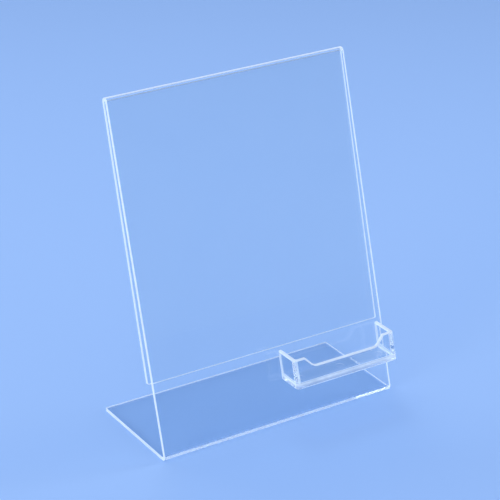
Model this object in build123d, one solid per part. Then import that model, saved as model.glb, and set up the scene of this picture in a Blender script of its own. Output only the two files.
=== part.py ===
from build123d import *

import os
from math import atan, degrees, radians, tan

# Clear slant-back sign holder with a card pocket, in millimetres.
# +X is right as seen from the front, +Y is to the back, +Z is up from the table.
# While it is drawn, Y is 0 where the base's underside and the front panel's front face would meet.

# Printed sheet that stands in the holder
insert_width = 216.0
insert_length = 279.4
insert_clearance = 3.0

# Clear sheet, bent into a base, a front panel and a back panel
sheet_thickness = 3.0
base_depth = 98.0
panel_lean = 16.0
bend_radius = 1.5
slot_gap = 1.6
slot_flare = 4.2
back_panel_rise = 62.4
corner_radius = 1.5
edge_radius = 0.3

# Cards that stand in the pocket
card_width = 89.0
card_clearance = 0.6

# Moulded pocket, whose front wall leans as the panel does and whose floor and rim fall a little to the back
pocket_rise = 36.2
pocket_height = 23.3
pocket_depth = 22.8
pocket_inset = 3.7
floor_fall = 0.8
rim_wall = 3.4
floor_thickness = 2.9
wall_draft = 0.4
outer_corner_radius = 3.4
inner_corner_radius = 1.0
foot_radius = 0.8
inside_radius = 1.0

# Cut-out in the pocket's front wall, between two tabs
tab_width = 10.8
notch_depth = 7.8
notch_slope = 45.0
notch_radius = 7.0
tab_radius = 1.8
rim_radius = 1.4

# Round marks that the mould's ejector pins leave on the pocket's floor
pin_mark_count = 3
pin_mark_diameter = 7.0
pin_mark_depth = 0.15
pin_mark_spacing = 38.0

# How far a cutting shape runs past what it cuts
overcut = 5.0

# Bent sheet: what follows from its driving sizes
bend_turn = 90.0 + panel_lean
bend_setback = (bend_radius + sheet_thickness) * tan(radians(bend_turn / 2))
insert_foot = sheet_thickness * tan(radians(bend_turn / 2))
panel_length = insert_foot + insert_length + insert_clearance + sheet_thickness
fold_radius = slot_gap / 2
fold_rise = panel_length - sheet_thickness - fold_radius
back_panel_length = fold_rise - back_panel_rise
fold_turn = 180.0 - degrees(atan(slot_flare / back_panel_length))

# Pocket: what follows from its driving sizes. It is drawn level, from its lower back edge, and then tipped
pocket_lean = panel_lean - floor_fall
cavity_lean = pocket_lean + wall_draft
wall_rise = pocket_height - floor_thickness
rim_front = pocket_height * tan(radians(pocket_lean)) - pocket_depth
cavity_front = rim_front + rim_wall - wall_rise * tan(radians(cavity_lean))
cavity_back = floor_thickness * tan(radians(pocket_lean))
cavity_width = card_width + 2 * card_clearance
rim_width = cavity_width + 2 * wall_rise * tan(radians(wall_draft)) + 2 * rim_wall
pocket_width = rim_width + 2 * pocket_height * tan(radians(wall_draft))
half_mouth = rim_width / 2 - tab_width
pocket_x = insert_width / 2 - pocket_inset - pocket_width / 2
pocket_y = pocket_rise * tan(radians(panel_lean))


def sheet_face(outset):
    """One face of the bent sheet, in section, from the base's back edge to the back panel's lower edge.

    outset is its distance from the face that lies inside the two bends.
    """
    height = sheet_thickness - outset
    base = Line((base_depth, height), (bend_setback, height))
    bend = JernArc(base @ 1, base % 1, bend_radius + outset, -bend_turn)
    panel = Line(bend @ 1, bend @ 1 + (bend % 1) * (fold_rise - bend_setback))
    fold = JernArc(panel @ 1, panel % 1, fold_radius + outset, -fold_turn)
    back_panel = Line(fold @ 1, fold @ 1 + (fold % 1) * back_panel_length)
    return [base, bend, panel, fold, back_panel]


def face_on(length, line):
    """The face of a length of the sheet that stands on a line of its section."""
    middle = line @ 0.5
    return length.faces().sort_by_distance((0, middle.X, middle.Y))[0]


def sheet_length(inner, outer, free_end):
    """One flat or one bend of the sheet, drawn across the insert's width between two lines of its section.

    free_end is 0 or 1 if the sheet ends at that end of the lines, and None if it runs on at both.
    The long edges are rounded, and so are a free end's corners and edges.
    """
    ends = [Line(inner @ 0, outer @ 0), Line(inner @ 1, outer @ 1)]
    section = make_face(Curve() + [inner, outer] + ends)
    length = extrude(Plane.YZ * section, insert_width / 2, both=True)
    if free_end is not None:
        end_face = face_on(length, ends.pop(free_end))
        length = fillet(end_face.edges().filter_by(Axis.X, reverse=True), corner_radius)
    rims = face_on(length, inner).edges() + face_on(length, outer).edges()
    for end in ends:
        rims -= face_on(length, end).edges()
    return fillet(rims, edge_radius)


def drafted_block(width, front, back, bottom, top, side_draft, front_lean, corner, foot):
    """A block on a level rectangle that leans back as it rises, while its sides draw in.

    corner rounds its two front corners, and foot rounds its lower front and side edges.
    """
    rise = top - bottom
    front_at_top = front + rise * tan(radians(front_lean))
    back_at_top = back + rise * tan(radians(pocket_lean))
    profile = Polygon((front, bottom), (back, bottom), (back_at_top, top), (front_at_top, top), align=None)
    block = extrude(Plane.YZ * profile, width / 2, both=True)
    block = draft(block.faces().filter_by(Axis.X), Plane.XY.offset(bottom), side_draft)
    front_face = block.faces().sort_by(Axis.Y)[0]
    block = fillet(front_face.edges().filter_by(Axis.X, reverse=True), corner)
    bottom_face = block.faces().sort_by(Axis.Z)[0]
    return fillet(bottom_face.edges().sort_by(Axis.Y)[:-1], foot)


def notch():
    """Cutting shape for the front wall's cut-out: sloping ends and a level lip that it rounds into."""
    run = notch_depth / tan(radians(notch_slope))
    extra_run = overcut / tan(radians(notch_slope))
    lip = pocket_height - notch_depth
    outline = Polygon(
        (-half_mouth + run, lip), (half_mouth - run, lip),
        (half_mouth + extra_run, pocket_height + overcut), (-half_mouth - extra_run, pocket_height + overcut),
        align=None)
    outline = fillet(outline.vertices().sort_by(Axis.Y)[:2], notch_radius)
    inside = Plane.XZ.offset(-(rim_front + 2 * rim_wall))
    return extrude(inside * outline, pocket_depth)


def rim_edges(pocket):
    """The edges along the rim and the cut-out, apart from the two that lie on the front panel."""
    rim = ShapeList()
    for face in pocket.faces():
        if face.center().Z > floor_thickness + inside_radius and face.normal_at().Z > 0.5:
            outline = face.edges()
            rim = (rim - outline) + (outline - rim)
    return rim.sort_by(Axis.Y)[:-2]


def card_pocket():
    """The moulding: a leaning box, open at the top and the back, whose back edges lie on the front panel."""
    shell = drafted_block(
        pocket_width, -pocket_depth, 0, 0, pocket_height,
        wall_draft, pocket_lean, outer_corner_radius, foot_radius)
    cavity = drafted_block(
        cavity_width, cavity_front, cavity_back + overcut, floor_thickness, pocket_height + overcut,
        -wall_draft, cavity_lean, inner_corner_radius, inside_radius)
    pocket = shell - cavity - notch()
    tab_corners = pocket.edges().filter_by(Axis.Y).filter_by_position(
        Axis.Z, pocket_height - tab_radius / 2, pocket_height + tab_radius / 2)
    tab_corners = tab_corners.filter_by_position(Axis.X, -half_mouth - tab_radius, half_mouth + tab_radius)
    pocket = fillet(tab_corners, tab_radius)
    pocket = fillet(rim_edges(pocket), rim_radius)
    for column in range(pin_mark_count):
        mark_x = (column - (pin_mark_count - 1) / 2) * pin_mark_spacing
        mark = Pos(mark_x, (cavity_front + cavity_back) / 2, floor_thickness)
        pocket -= mark * Cylinder(pin_mark_diameter / 2, 2 * pin_mark_depth)
    return Pos(pocket_x, pocket_y, pocket_rise) * Rot(-floor_fall, 0, 0) * pocket


sheet_names = ["base_plate", "front_bend", "front_panel", "top_fold", "back_panel"]
free_ends = {"base_plate": 0, "back_panel": 1}
pieces = {"card_pocket": card_pocket()}
for name, inner, outer in zip(sheet_names, sheet_face(0), sheet_face(sheet_thickness)):
    pieces[name] = sheet_length(inner, outer, free_ends.get(name))

box = Compound(list(pieces.values())).bounding_box()
centred = Pos(0, -box.center().Y, -box.min.Z)
os.makedirs("parts", exist_ok=True)
for name, piece in pieces.items():
    export_step(centred * piece, f"parts/{name}.step")
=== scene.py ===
import bpy
import numpy as np
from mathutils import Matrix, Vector


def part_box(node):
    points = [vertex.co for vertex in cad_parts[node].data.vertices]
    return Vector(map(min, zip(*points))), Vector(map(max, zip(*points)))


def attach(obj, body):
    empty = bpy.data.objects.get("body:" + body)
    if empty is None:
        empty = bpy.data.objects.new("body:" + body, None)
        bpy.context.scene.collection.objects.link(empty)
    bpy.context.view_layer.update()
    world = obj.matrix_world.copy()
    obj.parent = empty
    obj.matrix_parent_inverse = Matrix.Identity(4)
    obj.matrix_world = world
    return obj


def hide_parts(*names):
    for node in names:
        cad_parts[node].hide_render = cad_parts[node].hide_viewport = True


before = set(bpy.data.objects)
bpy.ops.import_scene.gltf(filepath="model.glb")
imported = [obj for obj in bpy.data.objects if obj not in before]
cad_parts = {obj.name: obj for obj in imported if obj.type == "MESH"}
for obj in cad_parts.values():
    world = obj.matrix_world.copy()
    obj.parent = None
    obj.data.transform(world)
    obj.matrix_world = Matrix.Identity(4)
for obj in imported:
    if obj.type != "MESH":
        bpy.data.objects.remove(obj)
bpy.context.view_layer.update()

MM = 0.001

# Bent sheet, in millimetres: its flats and bends are measured along the face inside the bends
SHEET_WIDTH = 216.0
SHEET_THICKNESS = 3.0
BASE_RUN = 92.0283
BEND_RADIUS = 1.5
BEND_TURN = 106.0
PANEL_RUN = 279.6094
FOLD_RADIUS = 0.8
FOLD_TURN = 178.9219
BACK_PANEL_RUN = 223.1809
CORNER_RADIUS = 1.5
EDGE_RADIUS = 0.3

# The sheet shown is thinner by a cement line, so that the pocket's back edges don't lie in its face
CEMENT_LINE = 0.03

# Direction into the front panel, square to it
PANEL_LEAN = np.radians(BEND_TURN - 90)
INTO_PANEL = (0, np.cos(PANEL_LEAN), -np.sin(PANEL_LEAN))

# Mesh of the sheet: rows along each flat and bend, columns across it, rows round a corner, and rows round an
# edge's rounding and across its flat. Beside an edge or a bend rows are SUPPORT apart, so flats shade flat
BASE_ROWS = 7
BEND_ROWS = 19
PANEL_ROWS = 15
FOLD_ROWS = 37
BACK_PANEL_ROWS = 13
COLUMNS = 17
CORNER_ROWS = 7
ROUNDING_ROWS = 6
EDGE_ROWS = 3
SUPPORT = 0.25

# Ripples reach this far from the middle of a bend, in millimetres along the sheet
RIPPLE_REACH = 7.0

# Painted highlight along the crest of the top fold: the degrees by which it tips to the back, those that it
# reaches either way, and the share of its look that is painted highlight
CREST_TIP = 8.0
CREST_REACH = 32.0
CREST_SHARE = 0.95

# Card pocket: square millimetres that a wall or the floor has at least, heights that its floor and its rim's
# rounding reach, and how far its rounded front corners reach in from its sides
BROAD_FACE = 250.0
POCKET_FLOOR = 39.6
RIM_ROUNDING = 58.2
CORNER_REACH = 3.6

# Share of a face's unit normal that is at least upward on a level face, along one axis on a wall, and to the
# front on a rounded corner; and the share that is at most up or down on an upright face
UPWARD = 0.99
SQUARE_ON = 0.9
FORWARD = 0.2
UPRIGHT = 0.5

# Bright foot of the pocket's walls, a painted highlight: the heights at which it starts and is full, those
# at which it starts to fade and has faded, and the share it loses. Bright strip along the seam: the
# distances from the panel at which it starts and is full. Last is the share of both that looks like an edge
FOOT_START = 41.8
FOOT_FULL = 41.0
FOOT_FADES = 40.3
FOOT_FADED = 38.1
FOOT_LOSS = 0.6
SEAM_START = 1.3
SEAM_FULL = 0.7
BRIGHT_SHARE = 0.85

# Clear plastic
ACRYLIC_IOR = 1.49
CLEAR = (0.985, 0.996, 1.0, 1)
HANDLED = (0.965, 0.985, 0.998, 1)
MOULDED = (0.95, 0.975, 0.995, 1)
LAMP_TINT = (0.85, 0.90, 0.95, 1)
EDGE_BLUE = (0.88, 0.955, 1.0, 1)
EDGE_WHITE = (0.985, 0.995, 1.0, 1)
INNER_LIGHT = (0.935, 0.98, 1.0, 1)
CEMENT_CLEAR = (1.0, 1.0, 1.0, 1)
CEMENT_CLOUDY = (0.95, 0.97, 1.0, 1)

# Light inside the plastic turns many times before it comes out
LIGHT_BOUNCES = 96

# Floor and studio: the tent's white starts and is full at these heights of a direction's unit vector
FLOOR_COLOUR = (0.30, 0.47, 0.80)
FLOOR_REACH = 4.0
TENT_COLOUR = (1.0, 1.0, 1.0)
TENT_START = 0.5
TENT_FULL = 0.85
STUDIO_STRENGTH = 0.75

# Softboxes: name, place, target, width and height in metres, and watts; then the degrees they fan out
SOFTBOXES = [
    ("left", (-3.0, -1.0, 0.88), (0, 0, 0.12), 1.0, 1.8, 9.0),
    ("front", (-1.6, -2.8, 1.6), (0, 0, 0.1), 1.2, 1.2, 2.8),
    ("top", (0.3, 1.7, 2.4), (0, 0, 0.2), 0.9, 0.7, 2.8),
    ("back", (-1.4, 2.8, 0.9), (0, 0, 0.05), 1.2, 0.8, 6.4),
    ("right", (3.0, -0.6, 1.08), (0, 0, 0.12), 0.8, 1.8, 9.0)]
BEAM_SPREAD = 75.0

# Camera, in metres, and its lens in millimetres
CAMERA_PLACE = (-0.77922, -1.22879, 0.82568)
CAMERA_TARGET = (-0.004165, -0.000929, 0.140937)
LENS = 146.52
SENSOR_WIDTH = 36.0


class Value:
    """One output of a shader node. Arithmetic on values adds Math nodes to their finish."""

    def __init__(self, finish, output):
        self.finish = finish
        self.output = output

    def math(self, operation, first, second):
        return self.finish.node("ShaderNodeMath", {"operation": operation}, {0: first, 1: second})

    def __add__(self, other):
        return self.math("ADD", self, other)

    def __radd__(self, other):
        return self.math("ADD", other, self)

    def __rsub__(self, other):
        return self.math("SUBTRACT", other, self)

    def __mul__(self, other):
        return self.math("MULTIPLY", self, other)

    def __rmul__(self, other):
        return self.math("MULTIPLY", other, self)

    def __pow__(self, other):
        return self.math("POWER", self, other)


class Finish:
    """The node tree of a material or of the world, made node by node."""

    def __init__(self, owner):
        self.owner = owner
        owner.use_nodes = True
        self.tree = owner.node_tree
        self.tree.nodes.clear()

    def node(self, kind, settings, sockets, output=0):
        """Adds a node, sets its settings and then its sockets, and returns one of its outputs."""
        made = self.tree.nodes.new(kind)
        for name, setting in settings.items():
            setattr(made, name, setting)
        for name, given in sockets.items():
            if isinstance(given, Value):
                self.tree.links.new(given.output, made.inputs[name])
            else:
                made.inputs[name].default_value = given
        return Value(self, made.outputs[output]) if made.outputs else None

    def place(self):
        return self.node("ShaderNodeTexCoord", {}, {}, "Object")

    def attribute(self, name):
        return self.node("ShaderNodeAttribute", {"attribute_name": name}, {}, "Fac")

    def ray(self, kind):
        return self.node("ShaderNodeLightPath", {}, {}, kind)

    def noise(self, scale, detail, stretch=(1, 1, 1)):
        """Noise from 0 to 1 at the piece's own place, drawn out along each axis by stretch."""
        drawn = self.node("ShaderNodeMapping", {}, {"Vector": self.place(), "Scale": stretch})
        return self.node("ShaderNodeTexNoise", {}, {
            "Vector": drawn, "Scale": scale, "Detail": detail}, "Fac")

    def ramp(self, given, start, full):
        """Rises smoothly from 0 where the given value is start to 1 where it is full."""
        return self.node("ShaderNodeMapRange", {"interpolation_type": "SMOOTHSTEP"}, {
            "Value": given, "From Min": start, "From Max": full})

    def blend(self, share, first, second):
        """Colour first where share is 0, and colour second where it is 1.

        The Mix node takes colours at its sockets 6 and 7 and gives one at its output 2.
        """
        return self.node("ShaderNodeMix", {"data_type": "RGBA"}, {0: share, 6: first, 7: second}, 2)

    def bump(self, height, strength, distance):
        return self.node("ShaderNodeBump", {}, {
            "Height": height, "Strength": strength, "Distance": distance})

    def mix(self, share, first, second):
        """Shader first where share is 0, and shader second where it is 1."""
        return self.node("ShaderNodeMixShader", {}, {0: share, 1: first, 2: second})

    def film(self, colour):
        return self.node("ShaderNodeBsdfTransparent", {}, {"Color": colour})

    def clear_to_lamps(self, shader):
        """The shader, except that a lamp's light passes through it with a tint."""
        from_lamp = self.ray("Is Shadow Ray") + self.ray("Is Diffuse Ray")
        return self.mix(from_lamp, shader, self.film(LAMP_TINT))

    def surface(self, shader):
        self.node("ShaderNodeOutputMaterial", {}, {"Surface": shader})
        return self.owner


def sheet_face_finish():
    """Polished clear acrylic, with a trace of handling haze and slight ripples where heat bent it.

    Along the crest of the top fold a painted highlight is laid on: there it scatters light as a cut edge
    does.
    """
    finish = Finish(bpy.data.materials.new("clear_sheet_face"))
    haze = finish.noise(scale=28.0, detail=4.0)
    ripple = finish.noise(scale=55.0, detail=2.0, stretch=(1, 0.3, 0.3)) * finish.attribute("near_bend")
    polished = finish.node("ShaderNodeBsdfPrincipled", {}, {
        "Base Color": finish.blend(haze, CLEAR, HANDLED),
        "Roughness": 0.004 + 0.02 * haze ** 3.0,
        "IOR": ACRYLIC_IOR,
        "Transmission Weight": 1.0,
        "Normal": finish.bump(ripple, strength=0.06, distance=0.0004)})
    # Painted highlight on the crest of the top fold, mixed in where the crest attribute says
    edge = lit_edge(finish, clearness=0.1, glow=0.3)
    shader = finish.mix(CREST_SHARE * finish.attribute("crest_highlight"), polished, edge)
    return finish.surface(finish.clear_to_lamps(shader))


def lit_edge(finish, clearness, glow):
    """Clear plastic seen at an edge: it scatters light that falls on it and light that faces bring to it.

    clearness is the share that still passes straight through, and glow the share that comes from inside.
    """
    streak = finish.noise(scale=900.0, detail=2.0)
    cloud = finish.noise(scale=70.0, detail=3.0)
    polished = finish.node("ShaderNodeBsdfPrincipled", {}, {
        "Base Color": finish.blend(cloud, EDGE_BLUE, EDGE_WHITE),
        "Roughness": 0.22 + 0.2 * streak,
        "IOR": ACRYLIC_IOR,
        "Specular IOR Level": 0.1,
        "Transmission Weight": clearness,
        "Normal": finish.bump(streak, strength=0.2, distance=0.0001)})
    inner_light = finish.node("ShaderNodeBsdfTranslucent", {}, {"Color": INNER_LIGHT})
    return finish.mix(glow, polished, inner_light)


def edge_finish(name, clearness, glow):
    finish = Finish(bpy.data.materials.new(name))
    return finish.surface(lit_edge(finish, clearness, glow))


def moulded_plastic(finish, dullness):
    """Clear moulded plastic: its faces ripple a little where it flowed and shrank in the mould."""
    flow = finish.noise(scale=90.0, detail=2.0, stretch=(1, 1, 0.6))
    haze = finish.noise(scale=220.0, detail=3.0)
    return finish.node("ShaderNodeBsdfPrincipled", {}, {
        "Base Color": finish.blend(haze, CLEAR, MOULDED),
        "Roughness": dullness + 0.03 * haze ** 2.0,
        "IOR": ACRYLIC_IOR,
        "Transmission Weight": 1.0,
        "Normal": finish.bump(flow, strength=0.15, distance=0.0006)})


def moulding_finish(name, dullness):
    finish = Finish(bpy.data.materials.new(name))
    return finish.surface(finish.clear_to_lamps(moulded_plastic(finish, dullness)))


def wall_finish(seam):
    """Clear moulded plastic whose lowest part is painted bright like an edge: a painted highlight for the
    light that the solid corner gathers.

    A narrow strip along the cemented seam on the front panel is bright like an edge too. seam is the panel's
    place along the direction into it.
    """
    finish = Finish(bpy.data.materials.new("clear_wall"))
    clear = moulded_plastic(finish, dullness=0.01)
    place = finish.place()
    height = finish.node("ShaderNodeSeparateXYZ", {}, {"Vector": place}, "Z")
    # Painted highlight low on the walls: full above the foot's rounding, fading towards the floor
    gathered = finish.ramp(height, FOOT_START * MM, FOOT_FULL * MM)
    spent = finish.ramp(height, FOOT_FADES * MM, FOOT_FADED * MM)
    reach = finish.node("ShaderNodeVectorMath", {"operation": "DOT_PRODUCT"}, {
        0: place, 1: INTO_PANEL}, "Value")
    strip = finish.ramp(reach, seam - SEAM_START * MM, seam - SEAM_FULL * MM)
    foot = gathered * (1.0 - FOOT_LOSS * spent)
    bright = finish.node("ShaderNodeMath", {"operation": "MAXIMUM"}, {0: foot, 1: strip})
    patchy = 0.5 + 0.8 * finish.noise(scale=70.0, detail=2.0)
    edge = lit_edge(finish, clearness=0.1, glow=0.25)
    shader = finish.mix(BRIGHT_SHARE * bright * patchy, clear, edge)
    return finish.surface(finish.clear_to_lamps(shader))


def joined_finish():
    """A face cemented to the sheet: light passes through it as if the two were one."""
    finish = Finish(bpy.data.materials.new("cemented_face"))
    bubble = finish.noise(scale=600.0, detail=2.0)
    return finish.surface(finish.mix(bubble, finish.film(CEMENT_CLEAR), finish.film(CEMENT_CLOUDY)))


def floor_finish():
    finish = Finish(bpy.data.materials.new("pale_floor"))
    shader = finish.node("ShaderNodeBsdfPrincipled", {}, {
        "Base Color": (*FLOOR_COLOUR, 1),
        "Roughness": 0.9,
        "Specular IOR Level": 0.1})
    return finish.surface(shader)


def studio():
    """A white light tent over a backdrop of the floor's own colour, which rises well above the horizon."""
    finish = Finish(bpy.data.worlds.new("studio"))
    direction = finish.node("ShaderNodeTexCoord", {}, {}, "Generated")
    height = finish.node("ShaderNodeSeparateXYZ", {}, {"Vector": direction}, "Z")
    colour = finish.blend(finish.ramp(height, TENT_START, TENT_FULL), (*FLOOR_COLOUR, 1), (*TENT_COLOUR, 1))
    shader = finish.node("ShaderNodeBackground", {}, {"Color": colour, "Strength": STUDIO_STRENGTH})
    finish.node("ShaderNodeOutputWorld", {}, {"Surface": shader})
    bpy.context.scene.world = finish.owner


def piece(name, points, faces, finishes, finish_of_face):
    """A smooth-shaded mesh object at the origin, from arrays of points in metres and of faces' corners."""
    mesh = bpy.data.meshes.new(name)
    mesh.vertices.add(len(points))
    mesh.vertices.foreach_set("co", points.astype(np.float32).ravel())
    mesh.loops.add(faces.size)
    mesh.loops.foreach_set("vertex_index", faces.astype(np.int32).ravel())
    mesh.polygons.add(len(faces))
    mesh.polygons.foreach_set("loop_start", np.arange(len(faces), dtype=np.int32) * faces.shape[1])
    for finish in finishes:
        mesh.materials.append(finish)
    mesh.polygons.foreach_set("material_index", finish_of_face.astype(np.int32))
    mesh.polygons.foreach_set("use_smooth", np.ones(len(faces), bool))
    mesh.update(calc_edges=True)
    mesh.validate()
    made = bpy.data.objects.new(name, mesh)
    bpy.context.scene.collection.objects.link(made)
    return made


def point_values(made, name, values):
    """Stores one number for each point of a piece, for its finish to read by name."""
    stored = made.data.attributes.new(name, "FLOAT", "POINT")
    stored.data.foreach_set("value", values.astype(np.float32))


def bent(station, depth, back_edge):
    """Where a point of the flat sheet comes to lie once the sheet is bent, as y and z.

    The sheet starts at the base's back edge and heads to the front. Its heading stays the same along a flat
    and falls evenly round a bend, where the inner face is an arc about the bend's centre. A point lies depth
    outside that face, square to the heading. Places and headings are complex numbers, y + iz.
    """
    runs = [
        (BASE_RUN, 0),
        (BEND_RADIUS * np.radians(BEND_TURN), BEND_RADIUS),
        (PANEL_RUN, 0),
        (FOLD_RADIUS * np.radians(FOLD_TURN), FOLD_RADIUS),
        (BACK_PANEL_RUN, 0)]
    place = np.zeros(station.shape, complex)
    begin, start, heading = 0.0, back_edge + 1j * SHEET_THICKNESS, np.pi
    for length, radius in runs:
        along = np.clip(station - begin, 0, length)
        turned = heading - (along / radius if radius else 0 * along)
        outward = 1j * np.exp(1j * turned)
        if radius:
            inner = start + radius * (outward - 1j * np.exp(1j * heading))
            end = start + radius * 1j * (np.exp(1j * (heading - length / radius)) - np.exp(1j * heading))
        else:
            inner = start + along * np.exp(1j * heading)
            end = start + length * np.exp(1j * heading)
        place = np.where(station >= begin, inner + outward * depth, place)
        heading -= length / radius if radius else 0.0
        begin, start = begin + length, end
    return place.real, place.imag


def bent_sheet():
    """The whole sheet: a flat plate with rounded corners and edges, bent twice.

    Each of its two faces is a grid of stations along the sheet by places across it, drawn in at the rounded
    corners. The edge between them is a strip: the faces' outline, carried out round a quarter circle, across
    the thickness and back in round another.
    """
    thickness = SHEET_THICKNESS - CEMENT_LINE
    inset = CORNER_RADIUS - EDGE_RADIUS
    half = SHEET_WIDTH / 2 - EDGE_RADIUS
    bend = BEND_RADIUS * np.radians(BEND_TURN)
    fold = FOLD_RADIUS * np.radians(FOLD_TURN)
    ends = np.cumsum([0, BASE_RUN, bend, PANEL_RUN, fold, BACK_PANEL_RUN])
    corner = np.linspace(0, np.pi / 2, CORNER_ROWS)
    corner_rows = EDGE_RADIUS + inset * (1 - np.cos(corner))
    clear_of_end = corner_rows[-1] + SUPPORT
    middle = np.concatenate([
        np.linspace(ends[0] + clear_of_end, ends[1] - SUPPORT, BASE_ROWS),
        np.linspace(ends[1], ends[2], BEND_ROWS),
        np.linspace(ends[2] + SUPPORT, ends[3] - SUPPORT, PANEL_ROWS),
        np.linspace(ends[3], ends[4], FOLD_ROWS),
        np.linspace(ends[4] + SUPPORT, ends[5] - clear_of_end, BACK_PANEL_ROWS)])
    station = np.concatenate([corner_rows, middle, ends[5] - corner_rows[::-1]])
    width = np.concatenate([
        half - inset * (1 - np.sin(corner)),
        np.full(len(middle), half),
        half - inset * (1 - np.sin(corner[::-1]))])
    aside = np.concatenate([np.sin(corner), np.ones(len(middle)), np.sin(corner[::-1])])
    ahead = np.concatenate([-np.cos(corner), np.zeros(len(middle)), np.cos(corner[::-1])])
    across = np.concatenate([[-1], np.linspace(-1 + SUPPORT / half, 1 - SUPPORT / half, COLUMNS), [1]])

    rows, columns = len(station), len(across)
    grid = np.arange(rows * columns).reshape(rows, columns)
    outline = np.concatenate([grid[0], grid[1:, -1], grid[-1, -2::-1], grid[-2:0:-1, 0]])
    flat_x = np.outer(width, across)
    flat_s = np.repeat(station[:, None], columns, axis=1)
    out_x = np.zeros((rows, columns))
    out_s = np.zeros((rows, columns))
    out_x[:, 0], out_x[:, -1] = -aside, aside
    out_s[:, 0], out_s[:, -1] = ahead, ahead
    out_s[0], out_s[-1] = -1, 1

    round_off = np.linspace(0, np.pi / 2, ROUNDING_ROWS)
    reach = EDGE_RADIUS * np.concatenate([np.sin(round_off), np.ones(EDGE_ROWS), np.sin(round_off[::-1])])
    sink = np.concatenate([
        EDGE_RADIUS * (1 - np.cos(round_off)),
        np.linspace(EDGE_RADIUS, thickness - EDGE_RADIUS, EDGE_ROWS + 2)[1:-1],
        thickness - EDGE_RADIUS * (1 - np.cos(round_off[::-1]))])
    rim_x = flat_x.ravel()[outline] + np.outer(reach[1:-1], out_x.ravel()[outline])
    rim_s = flat_s.ravel()[outline] + np.outer(reach[1:-1], out_s.ravel()[outline])
    rim_depth = np.repeat(sink[1:-1, None], len(outline), axis=1)

    x = np.concatenate([flat_x.ravel(), flat_x.ravel(), rim_x.ravel()])
    s = np.concatenate([flat_s.ravel(), flat_s.ravel(), rim_s.ravel()])
    depth = np.concatenate([np.zeros(grid.size), np.full(grid.size, thickness), rim_depth.ravel()])
    y, z = bent(s, depth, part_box("base_plate")[1][1] / MM)
    points = np.stack([x, y, z], axis=1) * MM

    outer = grid + grid.size
    inner_faces = np.stack([grid[:-1, :-1], grid[1:, :-1], grid[1:, 1:], grid[:-1, 1:]], axis=-1)
    outer_faces = np.stack([outer[:-1, :-1], outer[:-1, 1:], outer[1:, 1:], outer[1:, :-1]], axis=-1)
    between = 2 * grid.size + np.arange(rim_x.size).reshape(rim_x.shape)
    rings = np.concatenate([outline[None], between, outer.ravel()[outline][None]])
    onward = np.roll(rings, -1, axis=1)
    edge_faces = np.stack([rings[:-1], onward[:-1], onward[1:], rings[1:]], axis=-1).reshape(-1, 4)
    broad_faces = np.concatenate([inner_faces, outer_faces]).reshape(-1, 4)
    faces = np.concatenate([broad_faces, edge_faces])
    finishes = [sheet_face_finish(), edge_finish("cut_edge", clearness=0.2, glow=0.45)]
    finish_of_face = np.concatenate([np.zeros(len(broad_faces)), np.ones(len(edge_faces))])
    sheet = piece("clear_sheet", points, faces, finishes, finish_of_face)

    from_bend = np.abs(s - (ends[1] + ends[2]) / 2)
    from_fold = np.abs(s - (ends[3] + ends[4]) / 2)
    point_values(sheet, "near_bend", np.exp(-(np.minimum(from_bend, from_fold) / RIPPLE_REACH) ** 2))
    # Where the painted highlight lies on the outer face of the top fold
    from_crest = (s - ends[3]) / FOLD_RADIUS - np.radians(180 - BEND_TURN + CREST_TIP)
    crest_highlight = np.exp(-(from_crest / np.radians(CREST_REACH)) ** 4)
    point_values(sheet, "crest_highlight", np.where(depth == thickness, crest_highlight, 0.0))
    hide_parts("base_plate", "front_bend", "front_panel", "top_fold", "back_panel")
    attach(sheet, "root")


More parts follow.
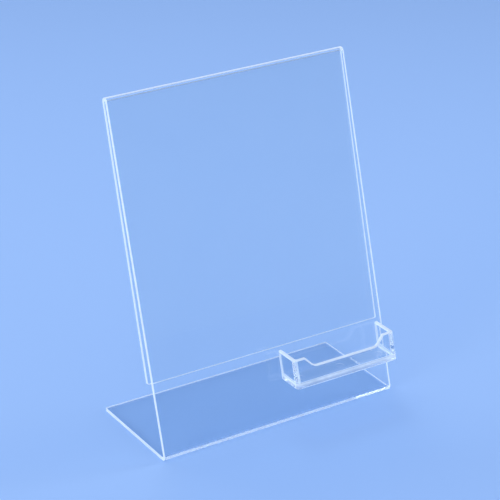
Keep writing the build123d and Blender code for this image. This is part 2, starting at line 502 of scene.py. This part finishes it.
def moulded_pocket():
    """The card pocket: its CAD triangles, merged where their corners share a place, with the CAD's normals.

    Triangles of one plane are told by their normal and their distance from the origin. A plane that covers a
    broad area is a wall or the floor. Every other face is an edge: a rim, a rounding or a pin mark's ring.
    The rounded front corners are clear like the walls. The floor's end on the sheet is joined to it, and the
    walls' ends there show as edges.
    """
    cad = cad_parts["card_pocket"].data
    places = np.empty(3 * len(cad.vertices))
    corners = np.empty(len(cad.loops), np.int32)
    normals = np.empty(3 * len(cad.loops))
    cad.vertices.foreach_get("co", places)
    cad.loops.foreach_get("vertex_index", corners)
    cad.corner_normals.foreach_get("vector", normals)
    points, merged = np.unique(places.reshape(-1, 3).round(7), axis=0, return_inverse=True)
    faces = merged.ravel()[corners].reshape(-1, 3)
    normals = normals.reshape(-1, 3, 3)
    first, second, third = points[faces].transpose(1, 0, 2)
    area = np.linalg.norm(np.cross(second - first, third - first), axis=1) / 2 / MM ** 2
    whole = area > 0
    faces, normals, area = faces[whole], normals[whole], area[whole]

    facing = normals.mean(axis=1)
    centre = points[faces].mean(axis=1)
    distance = (facing * centre).sum(axis=1) / MM
    planes = np.column_stack([facing.round(2), distance.round(1)])
    plane_of_face = np.unique(planes, axis=0, return_inverse=True)[1].ravel()
    broad = np.bincount(plane_of_face, area)[plane_of_face] > BROAD_FACE
    low = centre[:, 2] < POCKET_FLOOR * MM
    pin_mark = ~broad & (facing[:, 2] > UPWARD) & low
    from_middle = abs(centre[:, 0] - (points[:, 0].min() + points[:, 0].max()) / 2)
    at_side = np.ptp(points[:, 0]) / 2 - from_middle < CORNER_REACH * MM
    below_rim = centre[:, 2] < RIM_ROUNDING * MM
    round_corner = (facing[:, 1] < -FORWARD) & (abs(facing[:, 2]) < UPRIGHT) & at_side & below_rim
    towards_panel = points @ np.array(INTO_PANEL)
    seam = float(towards_panel.max())
    cemented = (towards_panel[faces] > seam - CEMENT_LINE * MM).all(axis=1)
    square_on = (facing[:, 1] < -SQUARE_ON) | (abs(facing[:, 0]) > SQUARE_ON)
    wall = (broad & square_on) | round_corner

    finishes = [
        edge_finish("moulded_edge", clearness=0.1, glow=0.3),
        moulding_finish("clear_moulding", dullness=0.01),
        wall_finish(seam),
        moulding_finish("pin_mark", dullness=0.12),
        joined_finish()]
    edges, clear_faces, walls, marks, joined = range(len(finishes))
    finish_of_face = np.select(
        [cemented & low, cemented, pin_mark, wall, broad], [joined, edges, marks, walls, clear_faces], edges)
    pocket = piece("clear_pocket", points, faces, finishes, finish_of_face)
    pocket.data.normals_split_custom_set(normals.reshape(-1, 3))
    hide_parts("card_pocket")
    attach(pocket, "root")


def floor():
    """A square floor, flat at the height of the holder's underside."""
    side = np.array([-FLOOR_REACH, FLOOR_REACH])
    x, y = np.meshgrid(side, side)
    points = np.stack([x.ravel(), y.ravel(), np.zeros(4)], axis=1)
    made = piece("floor", points, np.array([[0, 1, 3, 2]]), [floor_finish()], np.zeros(1))


def aimed(name, data, place, target):
    """A lamp or camera that stands at a place and looks at a target."""
    made = bpy.data.objects.new(name, data)
    made.location = place
    made.rotation_euler = (Vector(target) - Vector(place)).to_track_quat("-Z", "Y").to_euler()
    bpy.context.scene.collection.objects.link(made)
    return made


def softbox(name, place, target, width, height, power):
    """A rectangular lamp with a grid over it, which keeps its light near the holder."""
    lamp = bpy.data.lights.new(name, "AREA")
    lamp.shape = "RECTANGLE"
    lamp.size, lamp.size_y = width, height
    lamp.energy = power
    lamp.spread = np.radians(BEAM_SPREAD)
    aimed(name, lamp, place, target)


def camera():
    lens = bpy.data.cameras.new("camera")
    lens.sensor_width = SENSOR_WIDTH
    lens.lens = LENS
    bpy.context.scene.camera = aimed("camera", lens, CAMERA_PLACE, CAMERA_TARGET)


camera()
studio()
floor()
for box in SOFTBOXES:
    softbox(*box)
bent_sheet()
moulded_pocket()

bpy.context.scene.cycles.max_bounces = LIGHT_BOUNCES
bpy.context.scene.cycles.transmission_bounces = LIGHT_BOUNCES
bpy.context.scene.cycles.glossy_bounces = LIGHT_BOUNCES
bpy.context.scene.view_settings.view_transform = "Standard"
